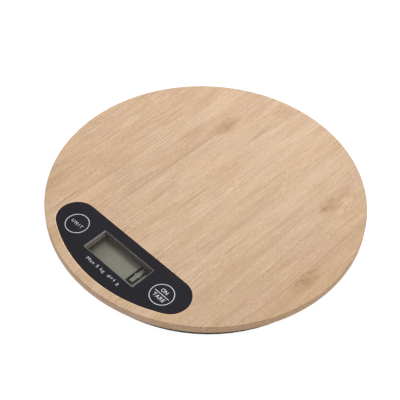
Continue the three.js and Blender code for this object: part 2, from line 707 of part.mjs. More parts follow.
function addHousing() {
  const body = join(
    tray(),
    ...RIB.angles.map(rib),
    ...CORNERS.map(([, x, y]) => footCup(x, y)),
    ...pcbPosts(),
    ...screwBosses(),
    bayBlock(),
  );
  const hollows = [
    ...CORNERS.map(([, x, y]) => footRecess(x, y)),
    ...pcbBores(),
    ...screwBores(),
    ...bayHollows(),
  ];
  add('bottom_housing', 'blackPlastic', cut(body, ...hollows));
}

// ---- Assembly ----

addPlatter();
addOverlay();
addKey('unit', -1);
addKey('tare', 1);
addDisplay();
addCircuitBoard();
for (const [name, sideX, sideY] of CORNERS) {
  addCorner(name, sideX, sideY);
}
addWiring();
addBatteryBay();
addBatteryDoor();
addHousing();
addHousingScrews();

export default scale;
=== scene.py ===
"""The looks of a round bamboo kitchen scale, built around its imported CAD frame.

Metres, +Z up, the scale's front towards -Y and its centre on the Z axis, as in the frame.
"""

import json
import math

import bmesh
import bpy
from mathutils import Matrix, Vector
from mathutils.geometry import tessellate_polygon


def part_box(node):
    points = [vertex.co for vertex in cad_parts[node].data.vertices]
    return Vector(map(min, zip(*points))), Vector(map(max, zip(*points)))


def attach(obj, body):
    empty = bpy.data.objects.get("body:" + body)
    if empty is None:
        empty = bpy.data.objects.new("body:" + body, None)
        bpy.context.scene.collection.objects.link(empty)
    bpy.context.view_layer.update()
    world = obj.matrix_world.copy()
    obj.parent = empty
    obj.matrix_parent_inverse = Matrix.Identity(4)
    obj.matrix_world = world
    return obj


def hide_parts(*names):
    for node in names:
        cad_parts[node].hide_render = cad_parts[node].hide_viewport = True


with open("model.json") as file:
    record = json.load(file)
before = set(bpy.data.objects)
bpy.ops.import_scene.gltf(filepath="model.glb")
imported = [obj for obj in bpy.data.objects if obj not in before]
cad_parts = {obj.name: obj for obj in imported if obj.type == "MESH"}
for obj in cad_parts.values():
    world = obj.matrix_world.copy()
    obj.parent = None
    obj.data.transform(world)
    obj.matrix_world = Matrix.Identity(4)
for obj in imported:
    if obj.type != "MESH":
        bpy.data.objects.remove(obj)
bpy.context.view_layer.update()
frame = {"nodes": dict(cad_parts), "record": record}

MM = 0.001
BODY = "scale_body"

# ---- Sizes read from the frame ----

BOARD_LOW, BOARD_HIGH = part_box("bamboo_platter")
FILM_LOW, FILM_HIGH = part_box("control_overlay")
PANE_LOW, PANE_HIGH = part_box("display_window")
LCD_LOW, LCD_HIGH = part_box("lcd_glass")
KEY_BOXES = {name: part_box(f"{name}_key_film") for name in ("unit", "tare")}

TOP = BOARD_HIGH.z
BOARD_RADIUS = BOARD_HIGH.x
WINDOW_CENTRE = (0, (PANE_LOW.y + PANE_HIGH.y) / 2)
PANE_HALF = (PANE_HIGH.x, (PANE_HIGH.y - PANE_LOW.y) / 2)
KEY_RADIUS = (KEY_BOXES["unit"][1].x - KEY_BOXES["unit"][0].x) / 2
KEY_PLACES = {name: ((low.x + high.x) / 2, (low.y + high.y) / 2) for name, (low, high) in KEY_BOXES.items()}

# ---- Sizes of the finer shapes ----

INK = 0.03 * MM  # the thickness of the print, whose top is level with the board's
FILM_TOP = TOP - INK
FILM_END_RADIUS = 12.6 * MM
POCKET_GAP = 0.12 * MM
POCKET_FLOOR = FILM_LOW.z - 0.1 * MM
POCKET_EASE = 0.4 * MM
POCKET_EASE_DROP = 0.16 * MM
WINDOW_CORNER = 0.8 * MM
OPENING_LEDGE = 0.4 * MM
# The black print stops at this outline. Inside it, a bare strip of the film slopes down to the clear pane.
PRINT_EDGE = {"half": (21.25 * MM, 8.72 * MM), "corner": 0.7 * MM, "centre": (0.2 * MM, -73.4 * MM)}
PANE_EDGE = {"half": (20.4 * MM, 8.17 * MM), "corner": 0.4 * MM, "centre": (0.5 * MM, -73.4 * MM)}
BORDER_DROP = 0.42 * MM
PANE_GAP = 0.03 * MM
PANE_BEVEL = 0.015 * MM
LCD_CORNER = 0.3 * MM
LCD_BEVEL = 0.1 * MM
KEY_DISC_RADIUS = KEY_RADIUS + 0.12 * MM
KEY_DISC_BEVEL = 0.05 * MM
KEY_HOLE_RADIUS = KEY_RADIUS + 0.2 * MM
KEY_RING = (KEY_RADIUS + 0.48 * MM, KEY_RADIUS + 0.11 * MM)  # outer and inner radius of the printed ring
KEY_STEPS = 96
BORE_RADIUS = KEY_RADIUS + 0.6 * MM
BORE_FLOOR = TOP - 2.3 * MM
STEM_HOLE_RADIUS = 2.9 * MM
RIM_EASE_TOP = 0.4 * MM
RIM_EASE_BOTTOM = 0.4 * MM


# ---- Outlines: closed loops of (x, y) points ----


def arc(centre, radius, start, end, steps):
    """Points along an arc, angles in degrees, both ends included."""
    cx, cy = centre
    angles = [math.radians(start + (end - start) * step / steps) for step in range(steps + 1)]
    return [(cx + radius * math.cos(angle), cy + radius * math.sin(angle)) for angle in angles]


def circle(centre, radius, steps=64):
    return arc(centre, radius, 0, 360, steps)[:-1]


def rounded_rectangle(half, corner, centre=(0, 0), grow=0.0, steps=6):
    """A rectangle with round corners, grown by an even margin."""
    corner += grow
    points = []
    for quarter, (sx, sy) in enumerate([(1, 1), (-1, 1), (-1, -1), (1, -1)]):
        middle = (centre[0] + sx * (half[0] + grow - corner), centre[1] + sy * (half[1] + grow - corner))
        points += arc(middle, corner, 90 * quarter, 90 * quarter + 90, steps)
    return points


def film_outline(grow=0.0):
    """The overlay's bow shape: a straight back edge, a front arc along the board's rim, and round ends."""
    rim = -FILM_LOW.y
    end_y = FILM_HIGH.y - FILM_END_RADIUS
    end_x = math.sqrt((rim - FILM_END_RADIUS) ** 2 - end_y**2)
    meet = math.degrees(math.atan2(end_y, end_x))
    end = FILM_END_RADIUS + grow
    right = arc((end_x, end_y), end, 90, meet, 24)
    front = arc((0, 0), rim + grow, meet, -180 - meet, 72)[1:-1]
    left = arc((-end_x, end_y), end, -180 - meet, -270, 24)
    return right + front + left


# ---- Solids built from loops ----


SMOOTH_ANGLE = 20  # edges that turn more than this many degrees stay crisp
BEVEL_ANGLE = 50  # edges that turn more than this many degrees are rounded, where a piece is softened


class Solid:
    """Collects the caps and walls of one closed solid, each with the number of the material it wears."""

    def __init__(self):
        self.mesh = bmesh.new()

    def face(self, corners, wears):
        self.mesh.faces.new(corners).material_index = wears

    def cap(self, z, outer, *holes, wears=0):
        """A flat face at height z, bounded by a loop and open over the holes."""
        loops = [[Vector((x, y, z)) for x, y in loop] for loop in (outer, *holes)]
        corners = [self.mesh.verts.new(point) for loop in loops for point in loop]
        for triangle in tessellate_polygon(loops):
            self.face([corners[index] for index in triangle], wears)
        return self

    def wall(self, lower, low, upper, high, wears=0):
        """A band of faces from one loop at height low to another at height high."""
        bottom = [self.mesh.verts.new((x, y, low)) for x, y in lower]
        top = [self.mesh.verts.new((x, y, high)) for x, y in upper]
        for index in range(len(bottom)):
            after = (index + 1) % len(bottom)
            self.face((bottom[index], bottom[after], top[after], top[index]), wears)
        return self

    def build(self, name, *materials):
        bmesh.ops.remove_doubles(self.mesh, verts=self.mesh.verts, dist=1e-6)
        bmesh.ops.recalc_face_normals(self.mesh, faces=self.mesh.faces)
        data = bpy.data.meshes.new(name)
        self.mesh.to_mesh(data)
        self.mesh.free()
        return place(name, data, *materials)


def place(name, data, *materials):
    """Puts a finished mesh in the scene, smooth wherever its faces turn gently."""
    data.shade_smooth()
    data.set_sharp_from_angle(angle=math.radians(SMOOTH_ANGLE))
    for material in materials:
        data.materials.append(MATERIALS[material])
    piece = bpy.data.objects.new(name, data)
    bpy.context.scene.collection.objects.link(piece)
    piece.modifiers.new("face_normals", "WEIGHTED_NORMAL").keep_sharp = True
    return piece


def prism(name, material, low, high, outer, *holes):
    """A plate between two heights with the same outline and holes all through."""
    solid = Solid().cap(low, outer, *holes).cap(high, outer, *holes)
    for loop in (outer, *holes):
        solid.wall(loop, low, loop, high)
    return solid.build(name, material)


def soften(piece, width):
    """Rounds the piece's sharp edges by a small bevel."""
    bevel = piece.modifiers.new("eased_edges", "BEVEL")
    bevel.width = width
    bevel.segments = 2
    bevel.limit_method = "ANGLE"
    bevel.angle_limit = math.radians(BEVEL_ANGLE)
    piece.modifiers.move(len(piece.modifiers) - 1, 0)
    return piece


def settle(piece, slot, body, *replaced):
    """Says which body the piece rides on and hides the CAD nodes it stands for. The slot, the finish it
    wears, is not used.
    """
    if replaced:
        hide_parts(*replaced)
    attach(piece, body)


# ---- Materials ----

NOISE_SPAN = (0.3, 0.7)  # nearly all of a noise texture lies between these


class Shader:
    """A procedural material on one Principled surface, with short calls for the nodes that it uses."""

    def __init__(self, name, **sockets):
        self.material = bpy.data.materials.new(name)
        self.material.use_nodes = True
        self.tree = self.material.node_tree
        self.surface = self.tree.nodes["Principled BSDF"]
        for socket, value in sockets.items():
            self.surface.inputs[socket.replace("_", " ")].default_value = value
        coordinates = self.add("ShaderNodeTexCoord").outputs
        self.place = coordinates["Object"]
        self.facing = coordinates["Normal"]

    def add(self, kind, **settings):
        node = self.tree.nodes.new(kind)
        for name, value in settings.items():
            setattr(node, name, value)
        return node

    def feed(self, socket, value):
        """Links an output to a socket, or sets a plain value on it."""
        if isinstance(value, bpy.types.NodeSocket):
            self.tree.links.new(value, socket)
        else:
            socket.default_value = value

    def axes(self, vector):
        node = self.add("ShaderNodeSeparateXYZ")
        self.feed(node.inputs[0], vector)
        return node.outputs[:]

    def math(self, operation, *values):
        node = self.add("ShaderNodeMath", operation=operation)
        for socket, value in zip(node.inputs, values):
            self.feed(socket, value)
        return node.outputs[0]

    def sum(self, first, *others):
        for other in others:
            first = self.math("ADD", first, other)
        return first

    def noise(self, scale, detail=3.0, roughness=0.5):
        """Noise from 0 to 1. The scale is in cells per metre, or three of them to stretch the cells."""
        vector = self.place
        if isinstance(scale, tuple):
            stretch = self.add("ShaderNodeMapping")
            self.feed(stretch.inputs["Vector"], vector)
            stretch.inputs["Scale"].default_value = scale
            vector, scale = stretch.outputs[0], 1.0
        node = self.add("ShaderNodeTexNoise")
        self.feed(node.inputs["Vector"], vector)
        node.inputs["Scale"].default_value = scale
        node.inputs["Detail"].default_value = detail
        node.inputs["Roughness"].default_value = roughness
        return node.outputs["Fac"]

    def spread(self, value, low, high, to_low=0.0, to_high=1.0):
        """Maps low..high to to_low..to_high, held at both ends."""
        node = self.add("ShaderNodeMapRange", clamp=True)
        for socket, given in zip(node.inputs, (value, low, high, to_low, to_high)):
            self.feed(socket, given)
        return node.outputs[0]

    def swing(self, noise, reach):
        """Turns noise into a swing about zero, up to reach either way."""
        return self.spread(noise, *NOISE_SPAN, -reach, reach)

    def mix(self, factor, first, second, blend="MIX"):
        node = self.add("ShaderNodeMix", data_type="RGBA", blend_type=blend)
        self.feed(node.inputs["Factor"], factor)
        colours = [socket for socket in node.inputs if socket.type == "RGBA"]
        for socket, value in zip(colours, (first, second)):
            self.feed(socket, value if isinstance(value, bpy.types.NodeSocket) else (*value, 1))
        return next(socket for socket in node.outputs if socket.type == "RGBA")

    def colour(self, value):
        self.feed(self.surface.inputs["Base Color"], value)

    def roughness(self, value):
        self.feed(self.surface.inputs["Roughness"], value)

    def bump(self, height, depth, strength=0.6):
        """Raises the surface by up to depth metres where height is 1."""
        node = self.add("ShaderNodeBump")
        node.inputs["Strength"].default_value = strength
        node.inputs["Distance"].default_value = depth
        self.feed(node.inputs["Height"], height)
        self.feed(self.surface.inputs["Normal"], node.outputs["Normal"])


# Bamboo strips from left to right: the right edge of each in millimetres, and its tone, 0 dark to 1 light.
STRIPS = [
    (-86, 0.47),
    (-77, 0.45),
    (-69, 0.3),
    (-61, 0.43),
    (-54, 0.52),
    (-46, 0.68),
    (-32.5, 0.35),
    (-18, 0.51),
    (-5, 0.57),
    (2, 0.53),
    (13, 0.7),
    (21, 0.6),
    (27, 0.56),
    (34, 0.48),
    (43, 0.68),
    (49, 0.61),
    (58, 0.38),
    (67, 0.49),
    (74, 0.34),
    (82, 0.43),
    (86, 0.34),
    (90, 0.3),
    (101, 0.3),
]
# Dark glue lines between strips: x, the middle and half length along y, in millimetres, and strength.
GLUE_LINES = [
    (-32.4, 2, 48, 1.0),
    (-54, -20, 40, 0.4),
    (-39.4, 2, 10, 0.5),
    (-18.2, -18, 12, 0.45),
    (-2.5, -10, 18, 0.5),
    (12.8, -30, 30, 0.35),
    (21.2, 34, 18, 0.65),
    (28.2, 28, 16, 0.5),
    (33.2, 4, 26, 0.5),
    (49, 20, 50, 0.6),
    (67, -5, 40, 0.5),
    (84, 5, 45, 0.65),
]
# Brown scars where the cane had its joints: x, y, half length along the grain, and strength.
SCARS = [
    (-32, 51, 11, 1.0),
    (61, 46, 8, 1.0),
    (88, -7, 11, 1.0),
    (-14, 91, 8, 0.6),
    (61, 62, 8, 0.45),
    (-43, 33, 9, 0.4),
]
# Pale, lightly torn patches.
SCUFFS = [
    (9, 15, 8, 1.0),
    (30, 39, 8, 0.8),
    (43, -35, 8, 0.8),
    (-60, -36, 8, 0.7),
    (67, 54, 6, 0.8),
    (26, 69, 8, 0.7),
    (-82, 38, 8, 0.6),
]
STRIP_SPAN = 101 * MM
MARK_HALF_WIDTH = 5 * MM
MARK_FADE = 1.7  # a mark is gone where its squared distance, in its own half sizes, reaches this
GLUE_CORE, GLUE_EDGE = 0.15 * MM, 0.6 * MM  # half widths of a glue line, dark and in all
GLUE_FULL = 0.7  # the share of its half length over which a glue line keeps its strength

BAMBOO_LIGHT = (0.46, 0.324, 0.213)
BAMBOO_DARK = (0.34, 0.214, 0.12)
BAMBOO_PORE = (0.25, 0.15, 0.082)
BAMBOO_SCAR = (0.33, 0.185, 0.08)
BAMBOO_KNOT = (0.16, 0.085, 0.034)
BAMBOO_TORN = (0.55, 0.415, 0.285)


def strip_tone(wood, across):
    """The tone of the strip at a distance across the board."""
    node = wood.add("ShaderNodeValToRGB")
    ramp = node.color_ramp
    ramp.interpolation = "CONSTANT"
    ramp.elements.remove(ramp.elements[1])
    wood.feed(node.inputs[0], wood.spread(across, -STRIP_SPAN, STRIP_SPAN))
    left = -STRIP_SPAN
    for index, (edge, tone) in enumerate(STRIPS):
        position = (left + STRIP_SPAN) / (2 * STRIP_SPAN)
        element = ramp.elements.new(position) if index else ramp.elements[0]
        element.position = position
        element.color = (tone, tone, tone, 1)
        left = edge * MM
    return node.outputs[0]


def strongest(wood, masks):
    """The largest of several masks."""
    first, *others = masks
    for other in others:
        first = wood.math("MAXIMUM", first, other)
    return first


def oval_marks(wood, x, y, marks):
    """Soft ovals along the grain: 1 times their strength in the middle, 0 outside."""
    masks = []
    for centre_x, centre_y, half_length, strength in marks:
        dx = wood.math("MULTIPLY_ADD", x, 1 / MARK_HALF_WIDTH, -centre_x * MM / MARK_HALF_WIDTH)
        dy = wood.math("MULTIPLY_ADD", y, 1 / (half_length * MM), -centre_y / half_length)
        square = wood.math("MULTIPLY_ADD", dx, dx, wood.math("MULTIPLY", dy, dy))
        masks.append(wood.spread(square, 0, MARK_FADE, strength, 0))
    return strongest(wood, masks)


def glue_lines(wood, x, y):
    """Thin lines along the grain that fade out at their ends."""
    masks = []
    for line_x, middle_y, half_length, strength in GLUE_LINES:
        off_line = wood.math("ABSOLUTE", wood.math("SUBTRACT", x, line_x * MM))
        beside = wood.spread(off_line, GLUE_CORE, GLUE_EDGE, strength, 0)
        off_middle = wood.math("ABSOLUTE", wood.math("SUBTRACT", y, middle_y * MM))
        within = wood.spread(off_middle, GLUE_FULL * half_length * MM, half_length * MM, 1, 0)
        masks.append(wood.math("MULTIPLY", beside, within))
    return strongest(wood, masks)


def strip_colour(wood, x, y):
    """The colour of the strips: a tone for each, with the cane's streaks, fibres, pores and glue lines."""
    broad = wood.noise((70, 16, 70), detail=2)
    streak = wood.noise((240, 26, 240), detail=4, roughness=0.6)
    fibre = wood.noise((800, 60, 800), detail=4, roughness=0.65)
    speckle = wood.noise((1500, 420, 1500), detail=2)
    openness = wood.spread(wood.noise((110, 30, 110), detail=2), 0.42, 0.6, 0.1, 1)
    across = wood.sum(x, wood.swing(wood.noise((40, 11, 40)), 0.6 * MM))
    tone = wood.sum(
        strip_tone(wood, across),
        wood.swing(broad, 0.09),
        wood.swing(streak, 0.27),
        wood.math("MULTIPLY", wood.swing(fibre, 0.65), openness),
        wood.swing(speckle, 0.36),
        wood.spread(y, -90 * MM, 90 * MM, -0.04, 0.03),
    )
    base = wood.mix(tone, BAMBOO_DARK, BAMBOO_LIGHT)
    hue = wood.spread(wood.noise((60, 30, 60), detail=1), 0.4, 0.6)
    base = wood.mix(1.0, base, wood.mix(hue, (1, 0.985, 0.925), (1, 0.985, 1.0)), "MULTIPLY")
    base = wood.mix(wood.spread(x, 60 * MM, 95 * MM, 0, 0.5), base, (1, 0.94, 0.82), "MULTIPLY")
    pores = wood.spread(wood.noise((1350, 24, 1350), detail=1), 0.57, 0.71, 0, 0.8)
    base = wood.mix(wood.math("MULTIPLY", pores, openness), base, BAMBOO_PORE)
    pale = wood.spread(wood.noise((1500, 36, 1500), detail=1), 0.58, 0.72, 0, 0.55)
    base = wood.mix(wood.math("MULTIPLY", pale, openness), base, BAMBOO_TORN)
    lines = wood.math("MULTIPLY", glue_lines(wood, across, y), wood.spread(streak, 0.3, 0.6, 0.45, 0.95))
    return wood.mix(lines, base, BAMBOO_PORE), fibre


def bamboo(name, tint=(1, 1, 1), end_shade=(1.0, 0.965, 1.0), shine=0.25):
    """Strips of cane glued side by side along y, under a satin lacquer.

    The tint darkens or pales all of it, and the end shade the faces across the grain.
    """
    wood = Shader(name, Specular_IOR_Level=shine)
    x, y, _ = wood.axes(wood.place)
    base, fibre = strip_colour(wood, x, y)

    mottle = wood.noise((520, 200, 520), detail=4, roughness=0.7)
    wander = wood.noise((240, 60, 240), detail=3)
    rough_x = wood.sum(x, wood.swing(mottle, 2 * MM))
    rough_y = wood.sum(y, wood.swing(wander, 5 * MM))
    scars = oval_marks(wood, rough_x, rough_y, SCARS)
    scuffs = oval_marks(wood, rough_x, rough_y, SCUFFS)
    base = wood.mix(wood.math("MULTIPLY", scars, 0.72), base, BAMBOO_SCAR)
    core = wood.math("MULTIPLY", wood.math("POWER", scars, 2.0), wood.spread(mottle, 0.42, 0.62, 0, 0.7))
    base = wood.mix(core, base, BAMBOO_KNOT)
    pale = wood.math("MULTIPLY", scuffs, wood.spread(mottle, 0.5, 0.66, 0, 0.7))
    base = wood.mix(pale, base, BAMBOO_TORN)
    torn = wood.math("MULTIPLY", scuffs, wood.spread(mottle, 0.48, 0.36, 0, 0.6))
    base = wood.mix(torn, base, BAMBOO_SCAR)

    end_grain = wood.spread(wood.math("ABSOLUTE", wood.axes(wood.facing)[1]), 0.45, 0.95)
    base = wood.mix(end_grain, base, end_shade, "MULTIPLY")
    wood.colour(wood.mix(1.0, base, tint, "MULTIPLY"))
    wood.roughness(wood.spread(fibre, *NOISE_SPAN, 0.46, 0.6))
    relief = wood.sum(wood.math("MULTIPLY", fibre, 0.6), scuffs)
    wood.bump(relief, 0.03 * MM, 0.5)
    return wood.material


def grained(name, colour, roughness, grain=2500.0, depth=0.02, wear=0.15, **sockets):
    """Moulded plastic, film or rubber: a fine grain, and soft blotches in its gloss and shade.

    The grain is in cells per metre, its depth in millimetres, and the wear a share of the colour.
    """
    shader = Shader(name, **sockets)
    blotches = shader.spread(shader.noise(45.0), *NOISE_SPAN)
    fine = shader.noise(grain, detail=2)
    lighter = tuple(min(1.0, channel * (1 + wear) + 0.001) for channel in colour)
    darker = tuple(channel * (1 - wear) for channel in colour)
    shader.colour(shader.mix(blotches, darker, lighter))
    gloss = shader.math("MULTIPLY_ADD", blotches, 0.08, roughness - 0.04)
    shader.roughness(shader.sum(gloss, shader.swing(fine, 0.03)))
    shader.bump(fine, depth * MM)
    return shader.material


def metal(name, colour, roughness, along=(1200, 60, 1200)):
    """Drawn or rolled metal: fine lines one way, and soft patches in the gloss."""
    shader = Shader(name, Metallic=1.0)
    lines = shader.noise(along)
    darker = tuple(channel * 0.82 for channel in colour)
    shader.colour(shader.mix(shader.noise(120.0, detail=2), darker, colour))
    shader.roughness(shader.math("ADD", shader.swing(lines, 0.07), roughness))
    shader.bump(lines, 0.01 * MM)
    return shader.material


def circuit_board():
    """Green solder mask over copper, which shows through as a paler lattice of tracks."""
    shader = Shader("solder_mask")
    tracks = shader.add("ShaderNodeTexBrick", offset=0.5)
    shader.feed(tracks.inputs["Vector"], shader.place)
    tracks.inputs["Scale"].default_value = 260.0
    tracks.inputs["Mortar Size"].default_value = 0.06
    tracks.inputs["Color1"].default_value = (0.014, 0.085, 0.03, 1)
    tracks.inputs["Color2"].default_value = (0.018, 0.11, 0.04, 1)
    tracks.inputs["Mortar"].default_value = (0.05, 0.2, 0.07, 1)
    shader.colour(tracks.outputs["Color"])
    shader.roughness(shader.spread(shader.noise(300.0), *NOISE_SPAN, 0.35, 0.5))
    return shader.material


def zebra_strip():
    """Thin black and pale layers across an elastomer strip."""
    shader = Shader("zebra_layers")
    layers = shader.add("ShaderNodeTexWave", wave_type="BANDS", bands_direction="X")
    shader.feed(layers.inputs["Vector"], shader.place)
    layers.inputs["Scale"].default_value = 600.0
    layers.inputs["Distortion"].default_value = 0.4
    shader.colour(shader.mix(layers.outputs["Fac"], (0.03, 0.03, 0.035), (0.45, 0.45, 0.5)))
    shader.roughness(shader.spread(layers.outputs["Fac"], 0, 1, 0.6, 0.8))
    return shader.material


def clear_pane():
    """The clear window: nearly invisible head on, with faint fine scratches."""
    shader = Shader("clear_pane", Alpha=0.01)
    scratches = shader.noise((900, 120, 900), detail=4)
    shader.colour(shader.mix(scratches, (0.1, 0.1, 0.1), (0.2, 0.2, 0.2)))
    shader.roughness(shader.spread(scratches, 0.4, 0.8, 0.08, 0.2))
    return shader.material


# How much of the studio the dark surfaces mirror.
MATT = {"Specular_IOR_Level": 0.2}
SATIN = {"Specular_IOR_Level": 0.08}
DULL = {"Specular_IOR_Level": 0.02}


def lcd_screen():
    """The grey-green face of the display, with the soft mottling of its polariser, and a painted shadow
    that darkens it towards its left end.
    """
    shader = Shader("lcd_face", **DULL)
    mottle = shader.spread(shader.noise(500.0), 0.35, 0.65)
    drift = shader.spread(shader.noise(40.0, detail=1), *NOISE_SPAN, 0, 0.5)
    base = shader.mix(mottle, (0.145, 0.146, 0.108), (0.16, 0.16, 0.12))
    base = shader.mix(drift, base, (0.17, 0.165, 0.135))
    # Painted shadow: the face darkens towards its left end, where the wall of the opening shades it.
    painted_shadow_left = shader.spread(shader.axes(shader.place)[0], -18 * MM, -6 * MM)
    shader.colour(shader.mix(painted_shadow_left, (0.106, 0.106, 0.08), base))
    shader.roughness(shader.math("MULTIPLY_ADD", mottle, 0.1, 0.4))
    return shader.material


MATERIALS = {
    "bamboo": bamboo("bamboo_laminate"),
    # Painted highlight: the eased edge of the pocket is paled to stand in for the light line along it.
    "bamboo_edge_painted_highlight": bamboo("bamboo_painted_highlight_edge", (1.6, 1.62, 1.64)),
    # Painted shade: the walls and floors of the pocket, the window opening and the key bores are darkened
    # to stand in for the shade inside them, the far wall most of all through its end shade.
    "bamboo_bore_painted_shade": bamboo("bamboo_painted_shade_bore", (0.85, 1.0, 1.3), (0.35, 0.39, 0.43), 0.05),
    "overlay_film": grained("black_film", (0.0056, 0.0046, 0.0082), 0.6, grain=4000.0, depth=0.01, **SATIN),
    # The bare strip's light grey is partly its own colour and partly a painted highlight, standing in for
    # the glint along the window's edge.
    "film_border_and_glint": grained(
        "bare_film_border_and_glint", (0.125, 0.122, 0.114), 0.5, grain=4000.0, depth=0.005, **SATIN
    ),
    "print_ink": grained("pale_print", (0.5, 0.5, 0.52), 0.5, grain=3000.0, depth=0.005, wear=0.05),
    "clear_window": clear_pane(),
    "lcd_glass": lcd_screen(),
    "lcd_segment": grained("lcd_dark", (0.004, 0.004, 0.003), 0.5, grain=3000.0, depth=0.002, **DULL),
    "housing_plastic": grained(
        "moulded_black", (0.003, 0.003, 0.0034), 0.5, grain=1600.0, depth=0.03, **MATT
    ),
    "white_plastic": grained("moulded_white", (0.5, 0.49, 0.46), 0.45, grain=1600.0, depth=0.02, wear=0.05),
    "switch_plastic": grained("black_nylon", (0.008, 0.008, 0.009), 0.4, grain=2200.0, depth=0.02),
    "foot_rubber": grained("foot_rubber", (0.014, 0.014, 0.015), 0.85, grain=1800.0, depth=0.05, wear=0.25),
    "zebra_rubber": zebra_strip(),
    "circuit_board": circuit_board(),
    "epoxy": grained("glob_top", (0.005, 0.005, 0.006), 0.25, grain=900.0, depth=0.03),
    "screw_steel": metal("zinc_steel", (0.5, 0.5, 0.52), 0.34),
    "contact_steel": metal("nickel_steel", (0.54, 0.53, 0.5), 0.28),
    "load_cell_alloy": metal("spring_steel", (0.46, 0.46, 0.48), 0.38, (60, 1400, 1400)),
    "battery_case": grained("battery_sleeve", (0.035, 0.08, 0.055), 0.3, grain=1200.0, depth=0.01),
    "black_wire": grained("black_vinyl", (0.01, 0.01, 0.011), 0.5, grain=1500.0, depth=0.02),
    "red_wire": grained("red_vinyl", (0.26, 0.015, 0.012), 0.5, grain=1500.0, depth=0.02),
    "white_wire": grained("white_vinyl", (0.48, 0.48, 0.45), 0.5, grain=1500.0, depth=0.02, wear=0.05),
}


# ---- Camera and studio ----


def toward(azimuth, elevation):
    """The direction to something seen at an azimuth, 0 in front and 90 at the right, and an elevation."""
    azimuth, elevation = math.radians(azimuth), math.radians(elevation)
    level = math.cos(elevation)
    return Vector((math.sin(azimuth) * level, -math.cos(azimuth) * level, math.sin(elevation)))


CAMERA = {"azimuth": 42.96, "elevation": 48.36, "roll": 2.27, "distance": 591.3 * MM}
LENS_MM = 85.47
SENSOR_MM = 36.0
# Where the board's centre stands off the middle of the picture, as shares of its width: right, up.
FRAMING = (0.01545, 0.0172)


def aim_camera():
    distance = CAMERA["distance"]
    roll = math.radians(CAMERA["roll"])
    back = toward(CAMERA["azimuth"], CAMERA["elevation"])
    level = toward(CAMERA["azimuth"] + 90, 0)
    upright = back.cross(level)
    right = math.cos(roll) * level + math.sin(roll) * upright
    up = math.cos(roll) * upright - math.sin(roll) * level
    picture_width = distance * SENSOR_MM / LENS_MM
    spot = Vector((0, 0, TOP)) + distance * back
    spot -= picture_width * (FRAMING[0] * right + FRAMING[1] * up)
    lens = bpy.data.cameras.new("camera")
    lens.lens = LENS_MM
    lens.sensor_width = SENSOR_MM
    camera = bpy.data.objects.new("camera", lens)
    bpy.context.scene.collection.objects.link(camera)
    turn = Matrix((right, up, back)).transposed().to_4x4()
    camera.matrix_world = Matrix.Translation(spot) @ turn
    bpy.context.scene.camera = camera


SKY_STRENGTH = 0.6
KEY_LIGHT = {"azimuth": 214, "elevation": 54, "distance": 1.2, "size": 0.6, "power": 16.2}
FILL_LIGHT = {"azimuth": 95, "elevation": 10, "distance": 1.2, "size": 0.6, "power": 2.0}
FLOOR_GLOW = 0.95
FLOOR_HALF, FLOOR_CORNER = 3, 0.5


def add_softbox(name, azimuth, elevation, distance, size, power):
    """A square area light that faces the scale."""
    back = toward(azimuth, elevation)
    light = bpy.data.lights.new(name, "AREA")
    light.size = size
    light.energy = power
    lamp = bpy.data.objects.new(name, light)
    lamp.location = back * distance
    lamp.rotation_euler = back.to_track_quat("Z", "Y").to_euler()
    bpy.context.scene.collection.objects.link(lamp)


def build_studio():
    scene = bpy.context.scene
    scene.view_settings.view_transform = "Standard"
    scene.world = bpy.data.worlds.new("studio")
    scene.world.use_nodes = True
    sky = scene.world.node_tree.nodes["Background"].inputs
    sky["Color"].default_value = (1, 1, 1, 1)
    sky["Strength"].default_value = SKY_STRENGTH
    add_softbox("key_light", **KEY_LIGHT)
    add_softbox("fill_light", **FILL_LIGHT)
    paper = Shader("studio_paper", Roughness=0.8, Emission_Color=(1, 1, 1, 1), Emission_Strength=FLOOR_GLOW)
    paper.colour(paper.mix(paper.noise(20.0), (0.14, 0.14, 0.14), (0.16, 0.16, 0.16)))
    MATERIALS["studio_paper"] = paper.material
    sheet = rounded_rectangle((FLOOR_HALF, FLOOR_HALF), FLOOR_CORNER)
    Solid().cap(0, sheet).build("studio_floor", "studio_paper")


# ---- Bamboo board ----


def rim_profile():
    """The board's rim from the underside to the top as (radius, z), both edges eased to a quarter round."""
    lower = (BOARD_RADIUS - RIM_EASE_BOTTOM, BOARD_LOW.z + RIM_EASE_BOTTOM)
    upper = (BOARD_RADIUS - RIM_EASE_TOP, TOP - RIM_EASE_TOP)
    return arc(lower, RIM_EASE_BOTTOM, -90, 0, 4) + arc(upper, RIM_EASE_TOP, 0, 90, 6)


